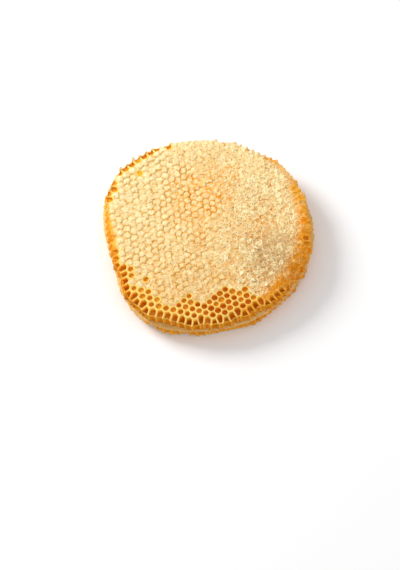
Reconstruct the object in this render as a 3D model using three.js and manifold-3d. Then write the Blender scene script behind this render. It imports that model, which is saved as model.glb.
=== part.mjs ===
// A round slab of natural honeycomb, lying flat as one solid, in millimetres with +Z up.
// Bees build comb as two layers of six-sided cells, back to back on one thin wax sheet, the midrib.
// Here each layer is a closed solid: capped cells are low domes, open cells are wells, and the side is
// cut, so that the cell walls end there as teeth with a hollow flute between them. The origin is under
// the middle of the slab, at the height of the flat underside.
import * as THREE from "three";
import { mergeVertices } from "three/addons/utils/BufferGeometryUtils.js";
import Module from "manifold-3d";

const wasm = await Module();
wasm.setup();

// ---- The slab ----
const THICKNESS = 25;
const MIDRIB_HEIGHT = 12;
const MEAN_RADIUS = 88.3;
const OUTLINE_CENTRE = new THREE.Vector2(-2.3, -2.05);
// The outline is a circle with a few slow waves in its radius: how many, how high, and where they peak.
const OUTLINE_WAVES = [
  { count: 2, swing: 1.6, peak: 195 },
  { count: 3, swing: 2.4, peak: 12 },
  { count: 4, swing: 1.75, peak: 194 },
  { count: 5, swing: 0.75, peak: 38 },
  { count: 6, swing: 0.5, peak: 250 },
];
// Beyond those waves it bulges out at the back left, and a little at the back. A bulge has its reach at
// the direction it points towards, in degrees, and less by its spread to each side.
const BULGES = [
  { reach: 3.4, towards: 137, spread: 25 },
  { reach: 0.9, towards: 85, spread: 28 },
];
// The side slopes out from the upper face to the midrib: a little all round, and most at the left.
const SLOPE_ALL_ROUND = 0.5;
const LEFT_SLOPE = { reach: 3.2, towards: 168, spread: 18 };
const UNDERCUT = 1.2; // the side draws in by this much from the midrib to the underside

// ---- The cells ----
const CELL_PITCH = 5.8;
const PITCH_FALL = 0.08; // cells are this share smaller at the right edge, and larger at the left
const CORNER_JITTER = 0.22;
const EDGE_MARGIN = 0.42 * CELL_PITCH; // a cell is kept if its centre lies this far inside the edge
const TOOTH_REACH = 0.4 * CELL_PITCH; // most that a wall is drawn out to meet the cut
const TOOTH_ROUGHNESS = 0.25;
const FLUTE_DEPTH = 0.22 * CELL_PITCH;

// ---- The two faces ----
const DOME_HEIGHT = 1.1; // of a cap at the left, where they are full
const DISH_DEPTH = 0.35; // of a cap at the right, where they have sunk
const CAP_UNEVENNESS = 0.4;
const SINKING = [-25, 45]; // from the first X to the second, the caps change from domes to dishes
const SHOULDER_WIDTH = 9; // the faces round off over this distance from the side
const TOP_SHOULDER = 2.2;
const UNDER_SHOULDER = 1.9;
const FRONT_FALL = 1.2; // the face is lower towards the front by this much
// The slow waves in the face: their height, their lengths along X and Y, and where they start.
const SWELL = { height: 0.45, lengths: [15, 18], starts: [0.8, -0.5] };

// ---- The open cells ----
const MOUTH_SHARE = 0.7; // width of a cell's mouth as a share of the cell
const FLOOR_SHARE = 0.6;
const WELL_DEPTH = 7.5;
const WELL_UNEVENNESS = 0.15;
// The bees have capped the cells behind this line, from left to right; in front of it they are open.
const CAP_LINE = [
  [-66, -24],
  [-65, -46],
  [-55.5, -48],
  [-53.7, -57.5],
  [-47, -61],
  [-40.6, -69],
  [-35, -66],
  [-29, -60.5],
  [-23.5, -57.5],
  [-20.9, -67],
  [-10, -67],
  [-4.5, -63.5],
  [7, -56.5],
  [12, -61],
  [23, -61.5],
  [25, -68],
  [33, -72],
  [44, -73],
];
// Cells in front of the line that are capped, and cells behind it that are open: x, y and radius.
const CAPPED_PATCHES = [[-67, -39.5, 4.5]];
const OPEN_PATCHES = [
  [-57.4, -38.5, 3],
  [-52, 60.5, 3],
  [48, -68.1, 3],
  [53, -65.2, 3],
  [79, -24.6, 3.8],
  [-26, 82, 3.3],
  [-73, 50, 2.2],
];
// Between these angles, in degrees, the outermost row of cells is open too.
const OPEN_EDGES = [
  [110, 152],
  [186, 214],
];
const EDGE_ROW = CELL_PITCH;

// ---- The torn walls along the back, left of the middle ----
const TORN_FROM = 112;
const TORN_TO = 134;
const TORN_SHARE = 0.8; // of the teeth there, this share still holds a torn wall
const FLAKE_HEIGHT = 4.2;
const FLAKE_UNEVENNESS = 0.3;
const FLAKE_WIDTH = 3.2;
const FLAKE_FOOT = 1.6; // thickness where it joins the comb
const FLAKE_TIP = 0.3; // width at the top as a share of the foot
const FLAKE_SINK = 1.2;
const FLAKE_LEAN = 0.5;
const FLAKE_TWIST = 0.6;

const CORNERS = 6;
// A cell's corners from its centre, in thirds of the two lattice steps, anticlockwise from +X.
const CORNER_STEPS = [
  [2, -1],
  [1, 1],
  [-1, 2],
  [-2, 1],
  [-1, -1],
  [1, -2],
];
const THIRD = 3;
// Slow sideways waves in the rows: what moves, what it follows, how far, how long and where it starts.
const ROW_WAVES = [
  { moves: "x", along: "y", swing: 0.9, length: 17, start: 0.6 },
  { moves: "x", along: "x", swing: 0.5, length: 11, start: -1.2 },
  { moves: "y", along: "x", swing: 0.8, length: 19, start: 2.1 },
  { moves: "y", along: "y", swing: 0.5, length: 12, start: 0.4 },
];
const LATTICE_REACH = 1.3; // the lattice is searched out to this many mean radii
// Each kind of unevenness draws its own numbers for the lattice points.
const DRAWS = {
  cornerX: 1,
  cornerY: 2,
  tooth: 3,
  cap: 4,
  well: 5,
  torn: 6,
  flakeHeight: 8,
  flakeLean: 9,
  flakeTwist: 10,
};
const WAX = { color: 0xf3d08f, roughness: 0.6, metalness: 0 };

// A repeatable number from 0 to 1 for a lattice point, by the usual trick of a sine's far decimals.
function chance([a, b], draw) {
  const s = Math.sin(a * 12.9898 + b * 78.233 + draw * 37.719) * 43758.5453;
  return s - Math.floor(s);
}

// The same, from -1 to 1.
function unevenness(key, draw) {
  return 2 * chance(key, draw) - 1;
}

// What is left of a bulge's reach at an angle.
function reachAt({ reach, towards, spread }, angle) {
  const away = ((THREE.MathUtils.radToDeg(angle) - towards + 540) % 360) - 180;
  return reach * Math.exp(-((away / spread) ** 2));
}

// The slab's radius at the height of the midrib, at an angle about OUTLINE_CENTRE.
function outlineRadius(angle) {
  const waved = OUTLINE_WAVES.reduce(
    (radius, { count, swing, peak }) =>
      radius + swing * Math.cos(count * angle - THREE.MathUtils.degToRad(peak)),
    MEAN_RADIUS,
  );
  return BULGES.reduce((radius, bulge) => radius + reachAt(bulge, angle), waved);
}

// How far the upper face's edge lies inside the outline at an angle.
function topSlope(angle) {
  return SLOPE_ALL_ROUND + reachAt(LEFT_SLOPE, angle);
}

function underSlope() {
  return UNDERCUT;
}

// How far a point lies inside the edge of a face, whose slope says how far that edge is drawn in.
function inset(point, slope) {
  const arm = point.clone().sub(OUTLINE_CENTRE);
  const angle = arm.angle();
  return outlineRadius(angle) - slope(angle) - arm.length();
}

// A lattice point's place: the regular lattice, with cells that shrink to the right and rows that sway.
function latticePlace([a, b]) {
  const x = (a / THIRD) * CELL_PITCH * Math.cos(Math.PI / 6);
  const y = (a / THIRD / 2 + b / THIRD) * CELL_PITCH;
  const regular = { x, y };
  const bend = PITCH_FALL / 2 / MEAN_RADIUS;
  const place = new THREE.Vector2(
    x - bend * (x * x - y * y),
    y - bend * 2 * x * y,
  );
  for (const wave of ROW_WAVES)
    place[wave.moves] +=
      wave.swing * Math.sin(regular[wave.along] / wave.length + wave.start);
  return place;
}

// Height of the upper face before its cells' own relief.
function upperFace(point) {
  const depth = inset(point, topSlope);
  const shoulder = 1 - THREE.MathUtils.smoothstep(depth, 0, SHOULDER_WIDTH);
  const front = THREE.MathUtils.smoothstep(
    -point.y,
    MEAN_RADIUS / 3,
    MEAN_RADIUS,
  );
  const { height, lengths, starts } = SWELL;
  const swell =
    height *
    Math.sin(point.x / lengths[0] + starts[0]) *
    Math.cos(point.y / lengths[1] + starts[1]);
  return THICKNESS - TOP_SHOULDER * shoulder - FRONT_FALL * front + swell;
}

// Height of the underside: flat where it rests, rising near the side.
function underFace(point) {
  const depth = inset(point, underSlope);
  return (
    UNDER_SHOULDER *
    (1 - THREE.MathUtils.smoothstep(depth, 0, SHOULDER_WIDTH))
  );
}

// The height, in Y, of the cap line at an x: before its first point it is level, after its last it ends.
function capLine(x) {
  if (x < CAP_LINE[0][0]) return CAP_LINE[0][1];
  const next = CAP_LINE.findIndex(([px]) => px > x);
  if (next < 0) return -Infinity;
  const [x0, y0] = CAP_LINE[next - 1];
  const [x1, y1] = CAP_LINE[next];
  return THREE.MathUtils.mapLinear(x, x0, x1, y0, y1);
}

function isOpen(centre) {
  const within = ([x, y, radius]) =>
    Math.hypot(centre.x - x, centre.y - y) < radius;
  const angle = centre.clone().sub(OUTLINE_CENTRE).angle();
  const degrees = THREE.MathUtils.radToDeg(angle);
  const alongEdge = ([from, to]) => degrees > from && degrees < to;
  if (OPEN_PATCHES.some(within)) return true;
  if (inset(centre, topSlope) < EDGE_ROW && OPEN_EDGES.some(alongEdge))
    return true;
  return centre.y < capLine(centre.x) && !CAPPED_PATCHES.some(within);
}

// The cells of one layer: each has its centre's key and place and its six corners' keys.
function layerCells(shift, slope) {
  const reach = Math.ceil((LATTICE_REACH * MEAN_RADIUS) / CELL_PITCH);
  const cells = [];
  for (let i = -reach; i <= reach; i++)
    for (let j = -2 * reach; j <= 2 * reach; j++) {
      const key = [THIRD * i + shift[0], THIRD * j + shift[1]];
      const place = latticePlace(key);
      if (inset(place, slope) < EDGE_MARGIN) continue;
      const corners = CORNER_STEPS.map(([a, b]) => [key[0] + a, key[1] + b]);
      cells.push({ key, place, corners });
    }
  return cells;
}

// A corner's place. A corner of one or two cells lies on the cut side: a wall that ends there is a tooth
// on the edge, and the corner of a single cell is drawn in, as the hollow flute of the cell cut open.
function cornerPlace(corner, cellsThere, slope) {
  const place = latticePlace(corner);
  place.x += CORNER_JITTER * unevenness(corner, DRAWS.cornerX);
  place.y += CORNER_JITTER * unevenness(corner, DRAWS.cornerY);
  if (cellsThere === 3) return place;
  const arm = place.clone().sub(OUTLINE_CENTRE);
  const angle = arm.angle();
  const rough = TOOTH_ROUGHNESS * unevenness(corner, DRAWS.tooth);
  const edge = outlineRadius(angle) - slope(angle) + rough;
  const length =
    cellsThere === 2
      ? Math.min(edge, arm.length() + TOOTH_REACH)
      : Math.min(edge - FLUTE_DEPTH, arm.length());
  return arm.setLength(length).add(OUTLINE_CENTRE);
}

// The same corner at the midrib, where the side has sloped out to the full outline.
function footPlace(place, slope) {
  const arm = place.clone().sub(OUTLINE_CENTRE);
  return arm.setLength(arm.length() + slope(arm.angle())).add(OUTLINE_CENTRE);
}

// Collects triangles for one closed surface, each point stored once.
class Surface {
  positions = [];
  triangles = [];
  point(place, height) {
    this.positions.push(place.x, place.y, height);
    return this.positions.length / 3 - 1;
  }
  triangle(...corners) {
    this.triangles.push(...corners);
  }
  strip(outer, inner, k, next) {
    this.triangle(outer[k], outer[next], inner[next]);
    this.triangle(outer[k], inner[next], inner[k]);
  }
  geometry() {
    const made = new THREE.BufferGeometry();
    made.setAttribute(
      "position",
      new THREE.Float32BufferAttribute(this.positions, 3),
    );
    return made.setIndex(this.triangles);
  }
}

function middleOf(places) {
  return places
    .reduce((sum, place) => sum.add(place), new THREE.Vector2())
    .divideScalar(places.length);
}

// A capped cell: six triangles that meet at its middle, over its corners in a dome or under them in a dish.
function addCap(surface, cell, ring, cornerPlaces) {
  const middle = middleOf(cornerPlaces);
  const sunk = THREE.MathUtils.smoothstep(middle.x, ...SINKING);
  const uneven = 1 + CAP_UNEVENNESS * unevenness(cell.key, DRAWS.cap);
  const lift = THREE.MathUtils.lerp(DOME_HEIGHT, -DISH_DEPTH, sunk) * uneven;
  const crown = surface.point(middle, upperFace(middle) + lift);
  ring.forEach((corner, k) =>
    surface.triangle(corner, ring[(k + 1) % CORNERS], crown),
  );
}

// A cap of the underside, pressed flat: four triangles.
function addFlatCap(surface, ring) {
  for (let k = 1; k < CORNERS - 1; k++)
    surface.triangle(ring[0], ring[k], ring[k + 1]);
}

// An open cell: a wax rim round a well that narrows to its floor.
function addWell(surface, cell, ring, cornerPlaces) {
  const depth =
    WELL_DEPTH * (1 + WELL_UNEVENNESS * unevenness(cell.key, DRAWS.well));
  const middle = middleOf(cornerPlaces);
  const drawnIn = (share, drop) =>
    cornerPlaces.map((place) => {
      const at = middle.clone().lerp(place, share);
      return surface.point(at, upperFace(at) - drop);
    });
  const mouth = drawnIn(MOUTH_SHARE, 0);
  const floor = drawnIn(FLOOR_SHARE, depth);
  for (let k = 0; k < CORNERS; k++) {
    const next = (k + 1) % CORNERS;
    surface.strip(ring, mouth, k, next);
    surface.strip(mouth, floor, k, next);
    if (k > 0 && next > 0) surface.triangle(floor[0], floor[k], floor[next]);
  }
}

// One layer of cells as a closed solid, from its face to a flat back at the midrib.
// side is 1 for the layer that faces up and -1 for the layer that faces down.
function layerSolid({ shift, side, face, slope }) {
  const cells = layerCells(shift, slope);
  const shared = new Map();
  for (const cell of cells)
    for (const corner of cell.corners)
      shared.set(`${corner}`, (shared.get(`${corner}`) ?? 0) + 1);

  const surface = new Surface();
  const known = new Map();
  const cornerAt = (corner) => {
    const key = `${corner}`;
    if (!known.has(key)) {
      const cellsThere = shared.get(key);
      const place = cornerPlace(corner, cellsThere, slope);
      const top = surface.point(place, face(place));
      const foot =
        cellsThere < 3
          ? surface.point(footPlace(place, slope), MIDRIB_HEIGHT)
          : null;
      known.set(key, { corner, cellsThere, place, top, foot });
    }
    return known.get(key);
  };

  const hub = surface.point(OUTLINE_CENTRE, MIDRIB_HEIGHT);
  for (const cell of cells) {
    const corners = cell.corners.map(cornerAt);
    const ring = corners.map((corner) => corner.top);
    const cornerPlaces = corners.map((corner) => corner.place);
    if (side < 0) addFlatCap(surface, ring);
    else if (isOpen(cell.place)) addWell(surface, cell, ring, cornerPlaces);
    else addCap(surface, cell, ring, cornerPlaces);
  }

  // The side hangs from each cell edge that no other cell shares.
  const edges = new Set();
  for (const cell of cells)
    cell.corners.forEach((corner, k) =>
      edges.add(`${corner}|${cell.corners[(k + 1) % CORNERS]}`),
    );
  for (const edge of edges) {
    const [from, to] = edge.split("|");
    if (edges.has(`${to}|${from}`)) continue;
    const one = known.get(from);
    const two = known.get(to);
    surface.triangle(two.top, one.top, one.foot);
    surface.triangle(two.top, one.foot, two.foot);
    surface.triangle(two.foot, one.foot, hub);
  }
  const geometry = surface.geometry();
  if (side < 0) geometry.index.array.reverse();
  const teeth = [...known.values()].filter((corner) => corner.cellsThere === 2);
  return { geometry, teeth };
}

// A torn wall: a thin four-sided sliver that stands just inside a tooth and leans out a little.
function tornFlake({ corner, place }) {
  const arm = place.clone().sub(OUTLINE_CENTRE);
  const uneven = 1 + FLAKE_UNEVENNESS * unevenness(corner, DRAWS.flakeHeight);
  const height = FLAKE_HEIGHT * uneven;
  const twist = FLAKE_TWIST * unevenness(corner, DRAWS.flakeTwist);
  const turn = arm.angle() - Math.PI / 2 + twist;
  const sliver = new THREE.CylinderGeometry(FLAKE_TIP, 1, height, 4, 1)
    .rotateX(Math.PI / 2)
    .rotateZ(Math.PI / 4)
    .scale(FLAKE_WIDTH / Math.SQRT2, FLAKE_FOOT / Math.SQRT2, 1)
    .translate(0, 0, height / 2)
    .rotateX(-FLAKE_LEAN * chance(corner, DRAWS.flakeLean))
    .rotateZ(turn);
  const foot = arm.setLength(arm.length() - FLAKE_FOOT).add(OUTLINE_CENTRE);
  return sliver.translate(foot.x, foot.y, upperFace(foot) - FLAKE_SINK);
}

function isTorn({ corner, place }) {
  const arm = place.clone().sub(OUTLINE_CENTRE);
  const degrees = THREE.MathUtils.radToDeg(arm.angle());
  const inStretch = degrees > TORN_FROM && degrees < TORN_TO;
  return inStretch && chance(corner, DRAWS.torn) < TORN_SHARE;
}

function toSolid(geometry) {
  const bare = geometry.clone();
  bare.deleteAttribute("normal");
  bare.deleteAttribute("uv");
  const merged = mergeVertices(bare, 1e-4);
  return new wasm.Manifold(
    new wasm.Mesh({
      numProp: 3,
      vertProperties: merged.attributes.position.array,
      triVerts: new Uint32Array(merged.index.array),
    }),
  );
}

function toGeometry(solid) {
  const mesh = solid.getMesh();
  const geometry = new THREE.BufferGeometry();
  geometry.setAttribute(
    "position",
    new THREE.Float32BufferAttribute(mesh.vertProperties, 3),
  );
  geometry.setIndex(new THREE.Uint32BufferAttribute(mesh.triVerts, 1));
  return geometry;
}

// The layers' cells stand back to back, with each cell's middle behind a corner that three cells share.
const upper = layerSolid({
  shift: [0, 0],
  side: 1,
  face: upperFace,
  slope: topSlope,
});
const lower = layerSolid({
  shift: CORNER_STEPS[0],
  side: -1,
  face: underFace,
  slope: underSlope,
});

const comb = upper.teeth
  .filter(isTorn)
  .map(tornFlake)
  .reduce(
    (solid, flake) => solid.add(toSolid(flake)),
    toSolid(upper.geometry).add(toSolid(lower.geometry)),
  );

const geometry = toGeometry(comb);
geometry.computeBoundingBox();
const middle = geometry.boundingBox.getCenter(new THREE.Vector3());
geometry.translate(-middle.x, -middle.y, 0);

const honeycomb = new THREE.Mesh(
  geometry,
  new THREE.MeshStandardMaterial(WAX),
);
honeycomb.name = "honeycomb";

const part = new THREE.Group();
part.add(honeycomb);

export default part;
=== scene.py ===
# %% [markdown]
# # A round slab of natural honeycomb
# Bees draw warm wax into two layers of six-sided cells, back to back on one thin sheet. They fill
# the cells with honey and close each one with a wax cap. This lesson takes the plain solid of one
# slab as its frame and models the real surface over it: full caps and sunken caps, open cells with
# their rims, the fluted side where the slab was cut, torn walls and honey.
# A scan would smear the cells. Bees repeat one shape with small differences, and a script can too.

# %% Load the frame
import math

import bmesh
import bpy
from mathutils import Matrix, Vector, noise


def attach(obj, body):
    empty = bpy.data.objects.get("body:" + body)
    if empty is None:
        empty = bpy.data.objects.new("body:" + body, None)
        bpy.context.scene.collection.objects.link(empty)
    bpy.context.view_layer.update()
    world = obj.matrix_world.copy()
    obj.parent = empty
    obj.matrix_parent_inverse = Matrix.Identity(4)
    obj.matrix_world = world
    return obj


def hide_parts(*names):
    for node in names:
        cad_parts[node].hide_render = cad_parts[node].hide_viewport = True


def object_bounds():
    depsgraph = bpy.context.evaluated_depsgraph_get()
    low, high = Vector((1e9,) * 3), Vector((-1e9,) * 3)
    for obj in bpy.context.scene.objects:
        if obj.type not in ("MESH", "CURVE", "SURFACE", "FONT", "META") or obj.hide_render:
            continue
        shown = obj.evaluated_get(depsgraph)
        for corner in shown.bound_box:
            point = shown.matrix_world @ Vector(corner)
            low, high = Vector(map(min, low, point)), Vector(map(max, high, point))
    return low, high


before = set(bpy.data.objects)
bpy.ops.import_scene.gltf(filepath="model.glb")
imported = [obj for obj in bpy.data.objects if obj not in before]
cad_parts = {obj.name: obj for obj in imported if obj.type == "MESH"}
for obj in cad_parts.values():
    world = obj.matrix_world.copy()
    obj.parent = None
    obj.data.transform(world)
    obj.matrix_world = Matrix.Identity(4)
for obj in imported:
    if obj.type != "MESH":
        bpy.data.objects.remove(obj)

MM = 0.001


def in_mm(box):
    return [[round(v / MM, 1) for v in corner] for corner in box]


cad_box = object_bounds()
print("frame box, mm:", in_mm(cad_box))

# %% [markdown]
# The grid of cells is worked out again here, in millimetres, from the same few numbers that the
# solid was made with, so that each cap lies where the solid has it. Directions are in degrees.

# %% The slab's outline
THICKNESS = 25
MIDRIB_HEIGHT = 12
MEAN_RADIUS = 88.3
OUTLINE_CENTRE = Vector((-2.3, -2.05, 0))
# Waves round the outline: how many there are, how far they swing, and where one peaks.
OUTLINE_WAVES = [(2, 1.6, 195), (3, 2.4, 12), (4, 1.75, 194), (5, 0.75, 38), (6, 0.5, 250)]
# Bulges: how far they reach, where they point, and how wide they are.
BULGES = [(3.4, 137, 25), (0.9, 85, 28)]
LEFT_SLOPE = (3.2, 168, 18)
SLOPE_ALL_ROUND = 0.5
UNDERCUT = 1.2


def polar(point):
    """Angle in radians and distance of a point, about the middle of the outline."""
    arm = point - OUTLINE_CENTRE
    return math.atan2(arm.y, arm.x), math.hypot(arm.x, arm.y)


def direction(point):
    return math.degrees(polar(point)[0]) % 360


def at_polar(angle, length):
    return OUTLINE_CENTRE + Vector((math.cos(angle), math.sin(angle), 0)) * length


def degrees_apart(one, other):
    return (one - other + 540) % 360 - 180


def reach_at(bulge, angle):
    """What is left of a bulge at an angle: all of it where it points, and less to each side."""
    reach, towards, spread = bulge
    return reach * math.exp(-((degrees_apart(math.degrees(angle), towards) / spread) ** 2))


def outline_radius(angle):
    waves = (swing * math.cos(n * angle - math.radians(peak)) for n, swing, peak in OUTLINE_WAVES)
    return MEAN_RADIUS + sum(waves) + sum(reach_at(bulge, angle) for bulge in BULGES)


def top_slope(angle):
    """How far the upper face's edge lies inside the outline."""
    return SLOPE_ALL_ROUND + reach_at(LEFT_SLOPE, angle)


def under_slope(_angle):
    """The same for the underside: the knife cuts in by as much all round."""
    return UNDERCUT


def inset(point, slope):
    """How far a point lies inside the edge of a face."""
    angle, length = polar(point)
    return outline_radius(angle) - slope(angle) - length


print("outline radius, mm:", [round(outline_radius(math.radians(a)), 1) for a in range(0, 360, 45)])

# %% [markdown]
# Each lattice point has two whole numbers as its key: a cell's middle has multiples of three, and
# the corners lie between. A number drawn from a key looks random and is the same each time. A salt,
# which is another number for each use, keeps the draws apart.

# %% The lattice of cells
CELL_PITCH = 5.8
CELL_RADIUS = CELL_PITCH / math.sqrt(3)
COLUMN_PITCH = CELL_PITCH * math.cos(math.pi / 6)
PITCH_FALL = 0.08
CORNER_JITTER = 0.22
EDGE_MARGIN = 0.42 * CELL_PITCH
TOOTH_REACH = 0.4 * CELL_PITCH
TOOTH_ROUGHNESS = 0.25
FLUTE_DEPTH = 0.22 * CELL_PITCH
THIRD = 3
LAYER_SHIFT = (2, -1)
LATTICE_REACH = math.ceil(1.3 * MEAN_RADIUS / CELL_PITCH)
# How the rows sway: the swing and length of a wave in mm, and its phase, twice for x and for y.
SWAY_X = ((0.9, 17, 0.6), (0.5, 11, -1.2))
SWAY_Y = ((0.8, 19, 2.1), (0.5, 12, 0.4))


def chance(a, b, salt):
    """A repeatable number from 0 to 1 for a lattice point."""
    s = math.sin(a * 12.9898 + b * 78.233 + salt * 37.719) * 43758.5453
    return s - math.floor(s)


def chance_around_0(a, b, salt):
    return 2 * chance(a, b, salt) - 1


def clamp(value):
    return min(max(value, 0), 1)


def smooth(value, low, high):
    share = clamp((value - low) / (high - low))
    return share * share * (3 - 2 * share)


def mix(low, high, share):
    return low + (high - low) * share


def sway(waves, *lengths_along):
    pairs = zip(waves, lengths_along)
    return sum(swing * math.sin(along / size + phase) for (swing, size, phase), along in pairs)


def regular_place(a, b):
    return Vector((a / THIRD * COLUMN_PITCH, (a / THIRD / 2 + b / THIRD) * CELL_PITCH, 0))


def lattice_place(a, b):
    """The bees' version: cells shrink to the right, and the rows sway."""
    x, y, _ = regular_place(a, b)
    bend = PITCH_FALL / 2 / MEAN_RADIUS
    bent_x, bent_y = x - bend * (x * x - y * y), y - bend * 2 * x * y
    return Vector((bent_x + sway(SWAY_X, y, x), bent_y + sway(SWAY_Y, x, y), 0))


def corner_place(a, b, cells_there, slope):
    """A corner of three cells only jitters. One of two cells is a tooth on the cut edge."""
    place = lattice_place(a, b)
    place.x += CORNER_JITTER * chance_around_0(a, b, 1)
    place.y += CORNER_JITTER * chance_around_0(a, b, 2)
    if cells_there == 3:
        return place
    angle, length = polar(place)
    edge = outline_radius(angle) - slope(angle) + TOOTH_ROUGHNESS * chance_around_0(a, b, 3)
    if cells_there == 2:
        return at_polar(angle, min(edge, length + TOOTH_REACH))
    return at_polar(angle, min(edge - FLUTE_DEPTH, length))


def cell_keys(shift, slope):
    for i in range(-LATTICE_REACH, LATTICE_REACH + 1):
        for j in range(-2 * LATTICE_REACH, 2 * LATTICE_REACH + 1):
            key = (THIRD * i + shift[0], THIRD * j + shift[1])
            if inset(lattice_place(*key), slope) >= EDGE_MARGIN:
                yield key


print("cells in the upper layer:", len(list(cell_keys((0, 0), top_slope))))

# %% [markdown]
# The bees cap ripe cells first, so the open ones keep together: here along the front and the left,
# with a few stragglers. A line of points marks where the caps end. The slab's faces are flat in the
# middle and round off at the edge, as comb does where it was cut warm.

# %% Open cells and the height of the two faces
CAP_LINE = [
    (-66, -24), (-65, -46), (-55.5, -48), (-53.7, -57.5), (-47, -61), (-40.6, -69), (-35, -66),
    (-29, -60.5), (-23.5, -57.5), (-20.9, -67), (-10, -67), (-4.5, -63.5), (7, -56.5), (12, -61),
    (23, -61.5), (25, -68), (33, -72), (44, -73),
]
# A patch is a place on the face and a radius.
CAPPED_PATCHES = [(-67, -39.5, 4.5)]
OPEN_PATCHES = [
    (-57.4, -38.5, 3), (-52, 60.5, 3), (48, -68.1, 3), (53, -65.2, 3), (79, -24.6, 3.8),
    (-26, 82, 3.3), (-73, 50, 2.2),
]
OPEN_EDGES = [(110, 152), (186, 214)]
EDGE_ROW = CELL_PITCH
SHOULDER_WIDTH = 9
TOP_SHOULDER = 2.2
UNDER_SHOULDER = 1.9
FRONT_FALL = 1.2
SWELL_HEIGHT = 0.45
SWELL_LENGTHS = (15, 18)
SWELL_PHASES = (0.8, -0.5)


def in_patch(point, patches):
    return any(math.hypot(point.x - x, point.y - y) < radius for x, y, radius in patches)


def cap_line(x):
    if x < CAP_LINE[0][0]:
        return CAP_LINE[0][1]
    for (x0, y0), (x1, y1) in zip(CAP_LINE, CAP_LINE[1:]):
        if x < x1:
            return mix(y0, y1, (x - x0) / (x1 - x0))
    return -math.inf


def is_open(point):
    at_open_edge = any(start < direction(point) < end for start, end in OPEN_EDGES)
    if in_patch(point, OPEN_PATCHES) or (at_open_edge and inset(point, top_slope) < EDGE_ROW):
        return True
    return point.y < cap_line(point.x) and not in_patch(point, CAPPED_PATCHES)


def upper_face(point):
    shoulder = 1 - smooth(inset(point, top_slope), 0, SHOULDER_WIDTH)
    front = smooth(-point.y, MEAN_RADIUS / 3, MEAN_RADIUS)
    swell = math.sin(point.x / SWELL_LENGTHS[0] + SWELL_PHASES[0])
    swell *= math.cos(point.y / SWELL_LENGTHS[1] + SWELL_PHASES[1])
    return THICKNESS - TOP_SHOULDER * shoulder - FRONT_FALL * front + SWELL_HEIGHT * swell


def under_face(point):
    return UNDER_SHOULDER * (1 - smooth(inset(point, under_slope), 0, SHOULDER_WIDTH))


print("open cells:", sum(is_open(lattice_place(*key)) for key in cell_keys((0, 0), top_slope)))

# %% [markdown]
# Each layer starts as a flat sheet of hexagons. Drawn as one big grid, every face would need its
# neighbours worked out. It is easier to drop one capped circle of six sides per cell on a perfect
# lattice, merge the doubles, and only then move each corner to its uneven place.

# %% A sheet of hexagons
HEXAGON_TURN = Matrix.Rotation(math.radians(30), 4, "Z")
MERGE_DISTANCE = 0.2
SIDE_CUTS = 3
WALL_HALF = 0.4
KEYS = ("a", "b")
# How dark a cap is: the part that chance gives, the front right's part and the front's part. The
# last two are partly painted shade, darker away from the key light.
TONE_AND_SHADE_PARTS = (0.5, 0.65, 0.5)
TURN_TO_RIGHT = 0.2
FRONT_RIGHT = (-45, 40)
FRONT = (25, 55)
# The least and most ripeness of the honey in the open cells.
RIPE_AT_BACK = (0.05, 0.4)
RIPE_AT_LEFT = (0.2, 0.8)
RIPE_IN_FRONT = (0.42, 1)
BACK_FROM_Y = -25
RIGHT_FROM_X = 70
LEFT_TO_X = -40


class Cell:
    """One cell of a layer: its face, which is drawn inwards ring by ring, and what it is like."""

    def __init__(self, face, key, middle, is_open_cell):
        self.face = face
        self.key = key
        self.middle = middle
        self.open = is_open_cell
        self.rim = []
        by_chance, at_front_right, in_front = TONE_AND_SHADE_PARTS
        self.tone = by_chance * chance(*key, 11)
        # Towards the front and the front right the caps darken, partly as painted shade.
        self.tone += at_front_right * smooth(TURN_TO_RIGHT * middle.x - middle.y, *FRONT_RIGHT)
        self.tone += in_front * smooth(-middle.y, *FRONT)

    def unevenness(self, share, salt):
        return 1 + share * chance_around_0(*self.key, salt)

    def ripeness(self):
        """0 in the pale, nearly full cells at the back, 1 in the dark, half-empty ones in front."""
        limits = RIPE_AT_LEFT if self.middle.x < LEFT_TO_X else RIPE_IN_FRONT
        if self.middle.y > BACK_FROM_Y or self.middle.x > RIGHT_FROM_X:
            limits = RIPE_AT_BACK
        return mix(*limits, chance(*self.key, 31))


def key_layers(elements):
    return [elements.layers.int[name] for name in KEYS]


def flat_hexagons(shift, slope):
    sheet = bmesh.new()
    for name in KEYS:
        sheet.faces.layers.int.new(name)
        sheet.verts.layers.int.new(name)
    key_a, key_b = key_layers(sheet.faces)
    circle = {"cap_ends": True, "segments": 6, "radius": CELL_RADIUS}
    for a, b in cell_keys(shift, slope):
        at = Matrix.Translation(regular_place(a, b)) @ HEXAGON_TURN
        made = bmesh.ops.create_circle(sheet, **circle, matrix=at)
        face = made["verts"][0].link_faces[0]
        face[key_a], face[key_b] = a, b
    bmesh.ops.remove_doubles(sheet, verts=sheet.verts, dist=MERGE_DISTANCE)
    return sheet


def move_corners(sheet, slope):
    key_a, key_b = key_layers(sheet.verts)
    for vertex in sheet.verts:
        a = round(vertex.co.x * THIRD / COLUMN_PITCH)
        b = round(vertex.co.y * THIRD / CELL_PITCH - a / 2)
        vertex[key_a], vertex[key_b] = a, b
        vertex.co = corner_place(a, b, len(vertex.link_faces), slope)


def find_teeth(sheet):
    """The corners of two cells on the cut edge: there a wall between the cells ends as a tooth."""
    return [v for v in sheet.verts if v.is_boundary and len(v.link_faces) == 2]


def find_cells(sheet, may_open):
    key_a, key_b = key_layers(sheet.faces)
    cells = []
    for face in sheet.faces:
        key = (face[key_a], face[key_b])
        middle = sum((v.co for v in face.verts), Vector()) / len(face.verts)
        cells.append(Cell(face, key, middle, may_open and is_open(lattice_place(*key))))
    return cells


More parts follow.
